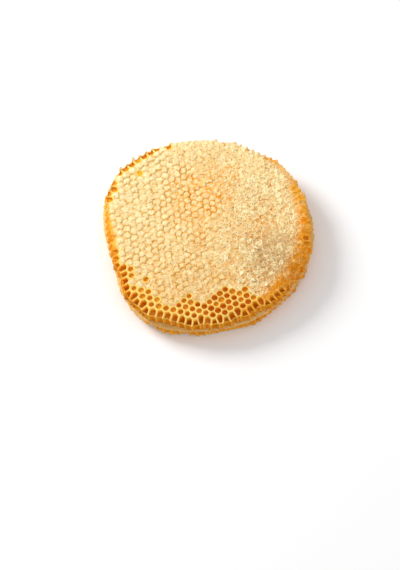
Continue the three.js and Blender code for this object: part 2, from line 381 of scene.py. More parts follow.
def hollow_steps(teeth):
    """How many points along the cut edge lie between each of its points and the nearest tooth."""
    steps = {tooth: 0 for tooth in teeth}
    front = list(teeth)
    while front:
        reached = []
        for vertex in front:
            for edge in vertex.link_edges:
                other = edge.other_vert(vertex)
                if edge.is_boundary and other not in steps:
                    steps[other] = steps[vertex] + 1
                    reached.append(other)
        front = reached
    return steps


probe = flat_hexagons((0, 0), top_slope)
move_corners(probe, top_slope)
print("corners:", len(probe.verts), "teeth:", len(find_teeth(probe)), "faces:", len(probe.faces))
probe.free()

# %% [markdown]
# A cap is a thin wax lid. Over air it stays a full dome with a narrow seam round it. Where it
# touches the honey it sinks, and the thicker wax along the cell walls stays up as a wandering
# ridge. One slab can have both, so the relief is a formula of the place: neighbours get the same
# height where they meet, and no step shows. A higher fullness makes a cap flatter in the middle.

# %% The relief of the caps
SINKING_FROM_TO = (-25, 45)
FLATTER_IN_FRONT = (-10, 45)
DOME_HEIGHT = 0.75
DOME_UNEVENNESS = 0.4
DOME_SHARES = (1, 0.8)
DOME_FULLNESS = (3.2, 4)
DISH_DEPTH = 0.28
DISH_UNEVENNESS = 0.9
DISH_FULLNESS = 2.5
RIDGE_HEIGHT = 0.3
RIDGE_WIDTH = 0.14
LEAST_RIDGE = 0.1
SEAM_DEPTH = 0.52
SEAM_MIDDLE = 0.45
SEAM_FULLNESS = 12
SEAM_SHARES = (0.38, 0.62)
SEAMS_OPEN_IN_FRONT = (-20, 10)
FLANK_FULLNESS = 2.6
FLANK_SHARES = (0.6, 1)
CORNER_PIT = 0.6
# How much amber the painted shade in a corner pit adds.
PIT_SHADE = 0.5
PITTED_CORNERS = 0.65
CAP_TILT = 0.2
TILT_FULLNESS = 6
DIMPLE_DEPTH = 0.7
DIMPLE_WIDTH = 0.22
DIMPLED_SHARE = 0.4
SCRAPED_STRETCH = (152, 200)
SCRAPED_SHARES = (0.6, 0.25)
SCRAPED_LESS = (-5, 15)
SCRAPED_DEPTH = 1.2
SCRAPED_FULLNESS = 4
RIM_HEIGHT = 0.2
CAP_RINGS = (0.93, 0.8, 0.58, 0.28)
# Folds and crumples: the size of their features and a salt, and their heights on full and on sunken
# caps.
FOLD_WAVE, FOLD_HEIGHTS, FOLD_SHARPNESS = (2.6, 4), (0.08, 0.19), 4
CRUMPLE_WAVE, CRUMPLE_HEIGHTS = (1.3, 5), (0.24, 0.2)
# Other noises: a level, a swing, the size of the features and a salt.
SLOW_SINKING = (0, 0.55, 15, 1)
QUICK_SINKING = (0, 0.5, 5, 2)
RIDGE_NOISE = (0.75, 1.1, 3.1, 3)
SEAM_NOISE = (0, 2.1, 3.7, 15)
PALENESS_NOISE = (0, 0.45, 1.7, 19)
RIM_NOISE = (RIM_HEIGHT, 0.35, 2.4, 6)


def wave(point, size, salt):
    """Smooth noise from -1 to 1, whose features are about so many millimetres across."""
    return noise.noise(Vector((point.x / size, point.y / size, 7.3 * salt)))


def uneven(point, level, swing, size, salt):
    return level + swing * wave(point, size, salt)


def sinking(point):
    """0 where the caps are full domes, 1 where they have sunk onto the honey."""
    usual = smooth(point.x, *SINKING_FROM_TO)
    return clamp(usual + uneven(point, *SLOW_SINKING) + uneven(point, *QUICK_SINKING))


def ridge(point):
    return RIDGE_HEIGHT * max(uneven(point, *RIDGE_NOISE), LEAST_RIDGE)


def near_border(share):
    return math.exp(-(((1 - share) / RIDGE_WIDTH) ** 2))


def seam_share(point):
    """1 where the seam between two caps is open, and 0 where they have grown together."""
    usual = mix(*SEAM_SHARES, smooth(-point.y, *SEAMS_OPEN_IN_FRONT))
    return clamp(usual + uneven(point, *SEAM_NOISE))


def seam_drop(point):
    return SEAM_DEPTH * (seam_share(point) - SEAM_MIDDLE)


def is_scraped(cell):
    """Along the left edge the knife has taken the caps off, and left shallow dishes of honey."""
    start, end = SCRAPED_STRETCH
    if not start < direction(cell.middle) < end or inset(cell.middle, top_slope) >= CELL_PITCH:
        return False
    return chance(*cell.key, 33) < mix(*SCRAPED_SHARES, smooth(cell.middle.y, *SCRAPED_LESS))


def dome_rise(point, share):
    """How pale a full cap is: 1 on its crown, less down its flank, and 0 in an open seam."""
    # The pale crown is partly a painted highlight, and the darker flank is partly painted shade.
    flank = share**FLANK_FULLNESS * mix(*FLANK_SHARES, seam_share(point))
    return clamp(1 - flank + uneven(point, *PALENESS_NOISE))


def wrinkles(point, sunk):
    folds = 1 - FOLD_SHARPNESS * abs(wave(point, *FOLD_WAVE))
    crumples = mix(*CRUMPLE_HEIGHTS, sunk) * wave(point, *CRUMPLE_WAVE)
    return mix(*FOLD_HEIGHTS, sunk) * folds + crumples


def border_relief(point):
    sunk = sinking(point)
    return mix(-seam_drop(point), ridge(point), sunk) + wrinkles(point, sunk)


def dome_relief(cell, share, point):
    flat = smooth(-point.y, *FLATTER_IN_FRONT)
    height = DOME_HEIGHT * cell.unevenness(DOME_UNEVENNESS, 4) * mix(*DOME_SHARES, flat)
    dome = height * (1 - share ** mix(*DOME_FULLNESS, flat))
    dome -= seam_drop(point) * share**SEAM_FULLNESS
    lean = 2 * math.pi * chance(*cell.key, 18)
    along = (point - cell.middle).xy.dot(Vector((math.cos(lean), math.sin(lean)))) / CELL_RADIUS
    dome += CAP_TILT * along * (1 - share**TILT_FULLNESS)
    if chance(*cell.key, 16) < DIMPLED_SHARE:
        dimple = math.exp(-((share / DIMPLE_WIDTH) ** 2))
        dome -= DIMPLE_DEPTH * chance(*cell.key, 17) * dimple
    return dome


def cap_relief(cell, share, point):
    """Height of a cap at a share of the way from its middle to its border."""
    sunk = sinking(point)
    if is_scraped(cell):
        return -SCRAPED_DEPTH * (1 - share**SCRAPED_FULLNESS) + wrinkles(point, sunk)
    dish = -DISH_DEPTH * cell.unevenness(DISH_UNEVENNESS, 12) * (1 - share**DISH_FULLNESS)
    dish += ridge(point) * near_border(share)
    return mix(dome_relief(cell, share, point), dish, sunk) + wrinkles(point, sunk)


places = [Vector((x, 0, 0)) for x in (-60, 0, 30, 60)]
print("how far caps have sunk, left to right:", [round(sinking(place), 2) for place in places])

# %% [markdown]
# An open cell is a wax rim round a nearly round well. At the edge of the slab the knife has opened
# some wells to the side, so the rim dips there. Each ring of a well is given as a share of the
# cell, a depth, and how far it has changed from six-sided to round.

# %% The rings of an open cell
WELL_RINGS = [
    (0.93, 0.0, 0.15),
    (0.84, 0.2, 0.5),
    (0.77, 0.6, 0.75),
    (0.75, 2.2, 0.85),
    (0.74, 4.6, 0.9),
    (0.45, 6.6, 1.0),
]
WELL_FLOOR = 7.3
WELL_UNEVENNESS = 0.15
WELL_LEAST_FALL = 0.12
# Down a well the wax darkens as painted shade, least in the palest cells.
PALEST_WELL = 0.4
MOUTH_UNEVENNESS = 0.12
MOUTH_SHARES = (0.95, 1.14)
WIDER_TO_RIGHT = (-45, 0)
SQUEEZED_FROM_TO = (1.25, 1.6)
CUT_CELL_DIP = 2.6
DIP_NOISE = (0.75, 0.6, 7, 10)
BACK_DIP_SHARE = 0.15
CUT_CAP_DIP = 0.9


def well_place(cell, rim, share, roundness):
    """A point of a ring: on the way from the middle to the border, or on a circle in the cell."""
    arm = rim - cell.middle
    arm.z = 0
    arms = [(r - cell.middle).xy.length for r in cell.rim]
    squeezed = smooth(max(arms) / min(arms), *SQUEEZED_FROM_TO)
    mouth = min(arms) * cell.unevenness(MOUTH_UNEVENNESS, 32)
    mouth *= mix(*MOUTH_SHARES, smooth(cell.middle.x, *WIDER_TO_RIGHT))
    circle = arm.normalized() * share * mouth
    return cell.middle + (arm * share).lerp(circle, roundness * (1 - squeezed))


def cut_dip(point, is_rim):
    """How far the border of a cut cell dips towards the cut."""
    if not is_rim:
        return CUT_CAP_DIP
    return CUT_CELL_DIP * uneven(point, *DIP_NOISE) * (BACK_DIP_SHARE if point.y > 0 else 1)


print("rings of a well:", len(WELL_RINGS), "and its floor, mm:", WELL_FLOOR)

# %% [markdown]
# Each cell face is then inset again and again, and each new ring is moved to its place and height.
# Every point keeps a few numbers for the materials: how high it stands in its cell, how far the
# caps have sunk, how deep it lies in a well, and so on. Some of them also set painted shade, down
# a cap's flank, in a corner pit and down a well.

# %% Draw the cells in, ring by ring
NOTES = ("rise", "sunk", "tone", "depth", "cut", "open", "wet", "ash")
INSET_START = 0.01
HOLLOW_BY_STEP = (0, 0.5, 0.88)
BORDER_STRAY = 1.2
RIM_STRAY = 0.3
STRAY_SIZE = 2.6
SCALLOP = 0.9
BORDER_TONE = 0.5


def add_notes(mesh):
    for name in NOTES:
        mesh.verts.layers.float.new(name)
    return mesh


class Layer:
    """One layer of cells while it is modelled. side is 1 for the face up, -1 for the face down."""

    def __init__(self, shift, side, face_height, slope, inner_cuts):
        self.side = side
        self.face_height = face_height
        self.slope = slope
        self.mesh = add_notes(flat_hexagons(shift, slope))
        kinds = self.mesh.verts.layers
        kinds.float_vector.new("home")
        self.notes = {name: kinds.float[name] for name in NOTES}
        self.home = kinds.float_vector["home"]
        move_corners(self.mesh, slope)
        for cuts, on_edge in ((SIDE_CUTS, True), (inner_cuts, False)):
            edges = [e for e in self.mesh.edges if e.is_boundary == on_edge]
            bmesh.ops.bisect_edges(self.mesh, edges=edges, cuts=cuts)
        self.teeth = find_teeth(self.mesh)
        self.feet = [self.foot(tooth.co) for tooth in self.teeth]
        self.tooth_places = {self.key_of(tooth): tooth.co.copy() for tooth in self.teeth}
        self.cells = find_cells(self.mesh, may_open=side > 0)
        self.hollows = hollow_steps(self.teeth)

    def key_of(self, vertex):
        return tuple(vertex[layer] for layer in key_layers(self.mesh.verts))

    def foot(self, point):
        """A point of the cut edge at the midrib, where the side has sloped out."""
        angle, length = polar(point)
        place = at_polar(angle, length + self.slope(angle))
        return Vector((place.x, place.y, MIDRIB_HEIGHT))

    def note(self, vertex, **values):
        for name, value in values.items():
            vertex[self.notes[name]] = float(value)

    def keep_rims(self):
        for cell in self.cells:
            cell.rim = [v.co.copy() for v in cell.face.verts]

    def draw_in(self, cells, place, *ring):
        """Insets the cells by one ring. place gives each new point its place and its notes."""
        faces = [cell.face for cell in cells]
        bmesh.ops.inset_individual(self.mesh, faces=faces, thickness=INSET_START, depth=0)
        for cell in cells:
            for vertex, rim in zip(cell.face.verts, cell.rim):
                place(self, cell, vertex, rim, *ring)

    def is_pitted(self, vertex):
        """Where three caps meet, most corners stay open as a small pit, darkened with painted
        shade.
        """
        return len(vertex.link_faces) == 3 and chance(*self.key_of(vertex), 34) < PITTED_CORNERS

    def hollow(self, vertex):
        """0 at a tooth and away from the cut edge, 1 in the middle of a cut cell."""
        step = self.hollows.get(vertex, 0)
        return HOLLOW_BY_STEP[step] if step < len(HOLLOW_BY_STEP) else 1


def move_borders(layer, opened):
    """Scallops the cut edge, thins its teeth, and lets the other borders wander a little."""
    for vertex in layer.mesh.verts:
        step = layer.hollows.get(vertex)
        if step is None:
            stray = Vector([wave(vertex.co, STRAY_SIZE, salt) for salt in (8, 9)] + [0])
            vertex.co += stray * (RIM_STRAY if vertex in opened else BORDER_STRAY)
        elif step > 1:
            angle, length = polar(vertex.co)
            vertex.co = at_polar(angle, length - SCALLOP * layer.hollow(vertex))
        elif step == 1:
            others = (edge.other_vert(vertex) for edge in vertex.link_edges)
            tooth = next(other for other in others if other in layer.teeth)
            vertex.co = tooth.co + (vertex.co - tooth.co).normalized() * WALL_HALF


def shape_borders(layer):
    """Moves the cell borders and gives them their height and their notes."""
    opened = {v for cell in layer.cells if cell.open for v in cell.face.verts}
    move_borders(layer, opened)
    for vertex in layer.mesh.verts:
        point, is_rim, hollow = vertex.co, vertex in opened, layer.hollow(vertex)
        sunk = sinking(point)
        rise = 1 if is_rim else mix(dome_rise(point, 1), ridge(point) / RIDGE_HEIGHT, sunk)
        # A corner pit takes the seam colour and some amber: painted shade.
        pit = (1 - sunk) * (not is_rim and layer.is_pitted(vertex))
        layer.note(vertex, rise=rise * (1 - pit), sunk=sunk, tone=BORDER_TONE, cut=hollow)
        layer.note(vertex, open=is_rim, wet=PIT_SHADE * pit)
        if layer.side > 0:
            relief = uneven(point, *RIM_NOISE) if is_rim else border_relief(point)
            height = layer.face_height(point) + relief - cut_dip(point, is_rim) * hollow
            vertex.co.z = height - CORNER_PIT * pit


print("notes kept on each point:", NOTES)

# %% [markdown]
# The side of a cut slab shows the cells lengthways: the walls between them are left as thin teeth,
# with hollow half-cells between. The cut edge of the sheet is extruded down to the midrib in rows,
# and each row's points are drawn into the hollows by how far they lie from a tooth. A boolean with
# hundreds of half-tubes would give the same shape, but with worse faces.

# %% Hang the side from the cut edge
HOLLOW_DEPTH = 1.5
HOLLOW_NOISE = (1, 0.45, 4, 13)
HOLLOW_SHADE = 0.2
RAGGEDNESS = 0.22
RAGGED_WAVE = (1.3, 14)
RAGGED_HEIGHT = 30
# Rows: how far down to the midrib they lie, and how far they are drawn into the hollows.
SIDE_ROWS = [
    (0.03, 0.0), (0.08, 0.3), (0.18, 0.85), (0.4, 1.0), (0.65, 0.95), (0.86, 0.75), (1.0, 0.45),
]


def new_vertices(made):
    return [v for v in made if isinstance(v, bmesh.types.BMVert)]


def hang_side(layer):
    """Extrudes the cut edge to the midrib, with hollows between the teeth, and closes the back."""
    mesh = layer.mesh
    edges = [e for e in mesh.edges if e.is_boundary]
    for vertex in {v for e in edges for v in e.verts}:
        vertex[layer.home] = vertex.co
    for share, depth in SIDE_ROWS:
        made = bmesh.ops.extrude_edge_only(mesh, edges=edges)["geom"]
        edges = [e for e in made if isinstance(e, bmesh.types.BMEdge) and e.is_boundary]
        for vertex in new_vertices(made):
            home = vertex[layer.home]
            hollow = vertex[layer.notes["cut"]]
            angle, length = polar(home)
            drawn = HOLLOW_DEPTH * depth * hollow * uneven(home, *HOLLOW_NOISE)
            on_side = Vector((math.degrees(angle), RAGGED_HEIGHT * share, 0))
            ragged = RAGGEDNESS * wave(on_side, *RAGGED_WAVE) * (1 - hollow) * (share < 1)
            place = at_polar(angle, length + layer.slope(angle) * share - drawn + ragged)
            vertex.co = Vector((place.x, place.y, mix(home.z, MIDRIB_HEIGHT, share)))
            layer.note(vertex, rise=1 - hollow * min(1, depth + HOLLOW_SHADE), depth=0, open=0)
    back = bmesh.ops.holes_fill(mesh, edges=edges, sides=0)["faces"]
    for hub in bmesh.ops.poke(mesh, faces=back)["verts"]:
        hub.co = OUTLINE_CENTRE + Vector((0, 0, MIDRIB_HEIGHT))


print("rows down the side:", len(SIDE_ROWS))

# %% Model the upper layer
# How fast a border's dip and its notes fade towards the middle of a cell.
DIP_FULLNESS = 6
NOTE_FULLNESS = 4
WELL_LIP = 0.1


def place_on_cap(layer, cell, vertex, rim, share):
    point = cell.middle.lerp(Vector((rim.x, rim.y, 0)), share)
    cut = vertex[layer.notes["cut"]]
    dip = CUT_CAP_DIP * cut * share**DIP_FULLNESS
    height = layer.face_height(point) + cap_relief(cell, share, point) - dip
    vertex.co = Vector((point.x, point.y, height))
    sunk = sinking(point)
    ridged = near_border(share) * ridge(point) / RIDGE_HEIGHT
    fading = share**NOTE_FULLNESS
    rise = fading if is_scraped(cell) else mix(dome_rise(point, share), ridged, sunk)
    layer.note(vertex, rise=rise, sunk=sunk, tone=cell.tone, cut=cut * fading, open=0)


def place_in_well(layer, cell, vertex, rim, share, drop, roundness):
    depth = drop * cell.unevenness(WELL_UNEVENNESS, 5)
    point = well_place(cell, rim, share, roundness)
    level = layer.face_height(point) + RIM_HEIGHT - depth
    vertex.co = Vector((point.x, point.y, min(level, rim.z - WELL_LEAST_FALL * depth)))
    # The depth note carries painted shade: darker down the well, more in riper cells.
    deep = smooth(depth, WELL_LIP, WELL_FLOOR)
    shade = deep * mix(PALEST_WELL, 1, cell.ripeness())
    layer.note(vertex, rise=1 - deep, depth=shade, tone=cell.tone, cut=0, open=1)


def close_cell(layer, cell):
    """Gives a cell its last point: the crown of a cap or the bottom of a well."""
    crown = bmesh.ops.poke(layer.mesh, faces=[cell.face])["verts"][0]
    crown.co = cell.middle.copy()
    sunk = sinking(crown.co)
    relief, rise = -WELL_FLOOR, 0
    if not cell.open:
        relief, rise = cap_relief(cell, 0, crown.co), 0 if is_scraped(cell) else 1 - sunk
    crown.co.z = layer.face_height(crown.co) + relief
    # A well's bottom gets the full painted shade.
    layer.note(crown, rise=rise, sunk=sunk, depth=cell.open, tone=cell.tone, cut=0, open=cell.open)


def model_upper():
    layer = Layer((0, 0), 1, upper_face, top_slope, inner_cuts=SIDE_CUTS)
    shape_borders(layer)
    layer.keep_rims()
    for share in CAP_RINGS:
        layer.draw_in([cell for cell in layer.cells if not cell.open], place_on_cap, share)
    for ring in WELL_RINGS:
        layer.draw_in([cell for cell in layer.cells if cell.open], place_in_well, *ring)
    for cell in layer.cells:
        close_cell(layer, cell)
    hang_side(layer)
    return layer


upper = model_upper()
print("upper layer:", len(upper.mesh.verts), "points,", len(upper.mesh.faces), "faces")

# %% [markdown]
# The layer underneath is built in the same way, and then its sheet stands at the underside. It has
# pressed its caps flat against what it lay on, so they need fewer rings.

# %% Model the lower layer
PRESSED_RINGS = (0.9, 0.72)
PRESSED_SEAM = 0.45
PRESSED_WIDTH = 0.25
PRESSED_SUNK = 0.35


def place_on_pressed_cap(layer, cell, vertex, rim, share):
    vertex.co = cell.middle.lerp(Vector((rim.x, rim.y, 0)), share)
    cut = vertex[layer.notes["cut"]] * share**NOTE_FULLNESS
    flat = smooth(1 - share, 0, PRESSED_WIDTH)
    vertex.co.z = layer.face_height(vertex.co) + PRESSED_SEAM * (1 - flat)
    layer.note(vertex, rise=flat, sunk=PRESSED_SUNK, tone=cell.tone, cut=cut, open=0)


def model_lower():
    layer = Layer(LAYER_SHIFT, -1, under_face, under_slope, inner_cuts=1)
    shape_borders(layer)
    for vertex in layer.mesh.verts:
        vertex.co.z = layer.face_height(vertex.co) + PRESSED_SEAM
        layer.note(vertex, rise=0, sunk=PRESSED_SUNK)
    layer.keep_rims()
    for share in PRESSED_RINGS:
        layer.draw_in(layer.cells, place_on_pressed_cap, share)
    hang_side(layer)
    return layer


lower = model_lower()
print("lower layer:", len(lower.mesh.verts), "points,", len(lower.mesh.faces), "faces")

# %% [markdown]
# The lattice has its own zero, and the frame is centred on its box, so everything is moved by the
# difference. The outermost feet of both layers give the box of the lattice. A finished mesh then
# goes from millimetres to metres, and its object stays at the origin.

# %% Move the meshes into the frame
feet = upper.feet + lower.feet
feet_corners = [Vector((end(f.x for f in feet), end(f.y for f in feet), 0)) for end in (min, max)]
move = (cad_box[0] + cad_box[1]) / 2 / MM - (feet_corners[0] + feet_corners[1]) / 2
move.z = 0
TO_FRAME = Matrix.Scale(MM, 4) @ Matrix.Translation(move)


def make_object(mesh, name, material):
    data = bpy.data.meshes.new(name)
    mesh.to_mesh(data)
    mesh.free()
    data.materials.append(material)
    made = bpy.data.objects.new(name, data)
    bpy.context.scene.collection.objects.link(made)
    return made


def finish_piece(mesh, name, material):
    """Turns a bmesh in lattice millimetres into a finished piece of the object."""
    bmesh.ops.transform(mesh, matrix=TO_FRAME, verts=mesh.verts)
    bmesh.ops.recalc_face_normals(mesh, faces=mesh.faces)
    piece = make_object(mesh, name, material)
    piece.data.shade_smooth()
    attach(piece, "root")
    piece.data.calc_loop_triangles()
    print(name, "has", len(piece.data.loop_triangles), "triangles")
    return piece


print("lattice moved by, mm:", [round(v, 3) for v in move])

# %% [markdown]
# ## Materials
# Beeswax is slightly see-through: cream where it is new and dry, peach where honey shows through,
# amber where it is wet. One node group mixes these from the notes kept on the points, and a second
# adds the grain. The first also paints shade: down the flanks of full caps, in corner pits, down
# the wells, towards the front and at the front right, and a painted highlight on the crowns.

# %% Helpers for nodes
NODES_IN_ROW = 6
NODE_SPACING = (220, -260)


def srgb(red, green, blue):
    """A colour given as 0 to 255 on a screen, as the linear colour that a node takes."""
    def linear(value):
        share = value / 255
        return share / 12.92 if share <= 0.04045 else ((share + 0.055) / 1.055) ** 2.4

    return (linear(red), linear(green), linear(blue), 1)


class Nodes:
    """A node tree, with a short call for each kind of node that the materials need."""

    def __init__(self, tree):
        self.tree = tree

    def add(self, kind, **settings):
        row, column = divmod(len(self.tree.nodes), NODES_IN_ROW)
        node = self.tree.nodes.new(kind)
        node.location = (NODE_SPACING[0] * column, NODE_SPACING[1] * row)
        for name, value in settings.items():
            setattr(node, name, value)
        return node

    def fill(self, node, values):
        """Gives a node's inputs, by name or by number, a plain value or a link from a socket."""
        for key, value in values.items():
            if isinstance(value, bpy.types.NodeSocket):
                self.tree.links.new(value, node.inputs[key])
            else:
                node.inputs[key].default_value = value
        return node.outputs

    def math(self, operation, *values, clamped=False):
        node = self.add("ShaderNodeMath", operation=operation, use_clamp=clamped)
        return self.fill(node, dict(enumerate(values)))[0]

    def times(self, first, second, clamped=False):
        return self.math("MULTIPLY", first, second, clamped=clamped)

    def mix(self, factor, low, high):
        node = self.add("ShaderNodeMix", data_type="RGBA")
        return self.fill(node, {0: factor, 6: low, 7: high})[2]

    def noise(self, place, scale, detail=2.0, distortion=0.0):
        values = {"Vector": place, "Scale": scale, "Detail": detail, "Distortion": distortion}
        return self.fill(self.add("ShaderNodeTexNoise"), values)["Fac"]

    def step(self, value, low, high):
        """A mask that goes smoothly from 0 at the low value to 1 at the high one."""
        node = self.add("ShaderNodeMapRange", interpolation_type="SMOOTHSTEP")
        return self.fill(node, {"Value": value, "From Min": low, "From Max": high})["Result"]

    def bump(self, height, strength, distance):
        values = {"Height": height, "Strength": strength, "Distance": distance}
        return self.fill(self.add("ShaderNodeBump"), values)["Normal"]

    def place(self):
        return self.add("ShaderNodeTexCoord").outputs["Object"]

    def note(self, name):
        return self.add("ShaderNodeAttribute", attribute_name=name).outputs["Fac"]


def new_group(name, inputs, outputs):
    """A node group, whose inputs and outputs are given as the kind of each name."""
    group = bpy.data.node_groups.new(name, "ShaderNodeTree")
    for in_out, sockets in (("INPUT", inputs), ("OUTPUT", outputs)):
        for socket, kind in sockets.items():
            group.interface.new_socket(socket, in_out=in_out, socket_type="NodeSocket" + kind)
    nodes = Nodes(group)
    return nodes, nodes.add("NodeGroupInput").outputs, nodes.add("NodeGroupOutput")


def new_material(name):
    material = bpy.data.materials.new(name)
    material.use_nodes = True
    nodes = material.node_tree.nodes
    return material, Nodes(material.node_tree), nodes["Principled BSDF"]


CREAM = srgb(246, 232, 186)
print("cream, linear:", [round(v, 3) for v in CREAM])

# %% The wax's colour
PEACH = srgb(237, 203, 140)
SHOULDER = srgb(242, 214, 154)
# Seams are partly dark joints between caps and partly painted shade.
SEAM = srgb(220, 168, 52)
RIDGE = srgb(250, 232, 180)
HONEY_UNDER = srgb(224, 168, 98)
PIT = srgb(192, 130, 58)
AMBER_THICK = srgb(226, 132, 8)
AMBER_THIN = srgb(248, 178, 54)
AMBER_LINE = srgb(250, 200, 98)
# Wet amber in the ash stretch, darkened as painted shade.
AMBER_DUSK = srgb(180, 106, 22)
# Greyish tan of the ash stretch, partly the wax's colour and partly painted shade.
ASH = srgb(190, 150, 98)
RIM_WAX = srgb(251, 210, 112)
WELL_MOUTH = srgb(247, 175, 44)
# The darkest painted shade down a well.
WELL_SHADED = srgb(212, 114, 0)
PEACH_SHARE = 0.7
HONEY_SHARE = 0.6
ASH_SHARE = 0.8
LINE_ASH_SHARE = 0.3
DUSK_SHARE = 0.6
AMBER_LINE_SHARE = 0.7
WELL_EDGE = 8.0


def build_wax_colour():
    names = ("Rise", "Sunk", "Tone", "Depth", "Open", "Wet", "Ash", "Line", "Pit")
    outputs = {"Colour": "Color", "Wetness": "Float"}
    nodes, given, wanted = new_group("wax_colour", dict.fromkeys(names, "Float"), outputs)
    rise, sunk, tone, depth, is_open_cell, wetness, ash, line, pit = (given[n] for n in names)
    # Crown to seam: partly the wax's colour, partly painted highlight and painted shade.
    crown = nodes.mix(nodes.times(tone, PEACH_SHARE), CREAM, PEACH)
    shoulder = nodes.mix(nodes.times(tone, HONEY_SHARE), SHOULDER, HONEY_UNDER)
    flank = nodes.mix(nodes.times(rise, 2, clamped=True), SEAM, shoulder)
    near_crown = nodes.math("MULTIPLY_ADD", rise, 2, -1, clamped=True)
    full = nodes.mix(near_crown, flank, crown)
    sunken = nodes.mix(rise, nodes.mix(tone, SHOULDER, HONEY_UNDER), RIDGE)
    pitted = nodes.mix(pit, nodes.mix(sunk, full, sunken), PIT)
    # The ash stretch: greyish tan, partly the wax's colour and partly painted shade.
    ashen = nodes.mix(nodes.times(ash, ASH_SHARE), pitted, ASH)
    ashen_line = nodes.mix(nodes.times(ash, LINE_ASH_SHARE), RIDGE, ASH)
    rimmed = nodes.mix(is_open_cell, nodes.mix(line, ashen, ashen_line), RIM_WAX)
    amber = nodes.mix(rise, AMBER_THICK, AMBER_THIN)
    # Wet amber darkens in the ash stretch as painted shade.
    amber = nodes.mix(nodes.times(ash, DUSK_SHARE), amber, AMBER_DUSK)
    amber = nodes.mix(nodes.times(line, AMBER_LINE_SHARE), amber, AMBER_LINE)
    outside = nodes.mix(wetness, rimmed, amber)
    # Down a well the wax darkens as painted shade.
    inside = nodes.mix(depth, WELL_MOUTH, WELL_SHADED)
    in_well = nodes.times(depth, WELL_EDGE, clamped=True)
    colour = nodes.mix(in_well, outside, inside)
    nodes.fill(wanted, {"Colour": colour, "Wetness": nodes.math("MAXIMUM", wetness, in_well)})
    return nodes.tree


wax_colour = build_wax_colour()
print("nodes in the wax's colour:", len(wax_colour.nodes))

# %% [markdown]
# Seen close, a cap is crumpled like thin foil. Where smooth noise passes through its middle value
# it draws long wandering lines, so a narrow band round that value makes good folds. They are raised
# in the bump, and pale in the colour.

# %% The wax's grain
# Folds: the scale of the noise, and how far from its middle value the band reaches.
FOLD_SCALES = ((210, 0.068), (390, 0.04))
FOLD_STRETCH = (1, 0.65, 1)
FOLD_EDGE = 0.4
GAP_SCALE = 260
GAP_RANGE = (0.4, 0.5)
GRAIN_SCALE = 800
GRAIN_HEIGHT = 0.5
PIT_SCALE = 480
PIT_RANGE = (0.54, 0.67)
PIT_HEIGHT = -0.3


def fold_lines(nodes, place, scale, width):
    """A mask that is 1 along wandering lines: where a noise passes through its middle."""
    stretched = nodes.add("ShaderNodeVectorMath", operation="MULTIPLY")
    stretched_place = nodes.fill(stretched, {0: place, 1: FOLD_STRETCH})[0]
    folds = nodes.noise(stretched_place, scale, detail=1.5, distortion=1.2)
    distance = nodes.math("ABSOLUTE", nodes.math("SUBTRACT", folds, 0.5))
    return nodes.step(distance, width, FOLD_EDGE * width)


def build_wax_grain():
    inputs = {"Place": "Vector", "Crumpled": "Float"}
    outputs = dict.fromkeys(("Height", "Line", "Pit"), "Float")
    nodes, given, wanted = new_group("wax_grain", inputs, outputs)
    place, crumpled = given["Place"], given["Crumpled"]
    lines = nodes.math("MAXIMUM", *[fold_lines(nodes, place, *fold) for fold in FOLD_SCALES])
    unbroken = nodes.step(nodes.noise(place, GAP_SCALE), *GAP_RANGE)
    line = nodes.times(nodes.times(lines, unbroken), crumpled)
    pit = nodes.times(nodes.step(nodes.noise(place, PIT_SCALE), *PIT_RANGE), crumpled)
    grain = nodes.noise(place, GRAIN_SCALE, detail=3.0)
    rough = nodes.math("MULTIPLY_ADD", grain, GRAIN_HEIGHT, line)
    height = nodes.math("MULTIPLY_ADD", pit, PIT_HEIGHT, rough)
    nodes.fill(wanted, {"Height": height, "Line": line, "Pit": pit})
    return nodes.tree


wax_grain = build_wax_grain()
print("nodes in the wax's grain:", len(wax_grain.nodes))

# %% The wax material
DRY_ROUGHNESS = 0.6
WET_ROUGHNESS = 0.3
NOTES_IN_COLOUR = ("rise", "sunk", "tone", "depth", "open", "wet", "ash")


def crumpling(nodes, notes):
    """Full where the caps have sunk, less on domes and under honey, none in the open cells."""
    amount = nodes.math("MULTIPLY_ADD", notes["sunk"], 0.45, 0.55)
    shown = nodes.math("MULTIPLY_ADD", notes["wet"], -0.35, 1)
    dry = nodes.math("MULTIPLY_ADD", notes["depth"], -WELL_EDGE, 1, clamped=True)
    return nodes.times(nodes.times(amount, shown), dry)


def make_wax():
    material, nodes, shader = new_material("comb_wax")
    notes = {name: nodes.note(name) for name in NOTES_IN_COLOUR}
    grain = nodes.add("ShaderNodeGroup", node_tree=wax_grain)
    marks = nodes.fill(grain, {"Place": nodes.place(), "Crumpled": crumpling(nodes, notes)})
    colour = nodes.add("ShaderNodeGroup", node_tree=wax_colour)
    mixed = {name.title(): socket for name, socket in notes.items()}
    looks = nodes.fill(colour, mixed | {"Line": marks["Line"], "Pit": marks["Pit"]})
    less_rough = WET_ROUGHNESS - DRY_ROUGHNESS
    nodes.fill(shader, {
        "Base Color": looks["Colour"],
        "Roughness": nodes.math("MULTIPLY_ADD", looks["Wetness"], less_rough, DRY_ROUGHNESS),
        "Coat Weight": nodes.times(notes["wet"], 0.05),
        "Coat Roughness": 0.12,
        "Subsurface Weight": 0.25,
        "Subsurface Radius": (1.0, 0.6, 0.3),
        "Subsurface Scale": 1.5 * MM,
        "Specular IOR Level": 0.0,
        "Normal": nodes.bump(marks["Height"], strength=0.8, distance=0.28 * MM),
    })
    return material


comb_wax = make_wax()
print("nodes in the wax material:", len(comb_wax.node_tree.nodes))

# %% [markdown]
# Two more notes are painted by place. "wet" is where honey has run over the wax: the side, some
# stretches of the edge and a few patches of the face. "ash" is a stretch at the front right where
# the caps are a greyish tan and darker, partly their own colour and partly painted shade.

# %% Where the comb is wet, and where it is ashen
# A patch is a place on the face, a radius and a strength.
WET_PATCHES = [
    (-6, 31, 43, 1.05), (-8, -4, 20, 0.45), (-74, 20, 10, 0.3), (23, 47, 17, 0.5),
    (45, -6, 19, 0.35),
]
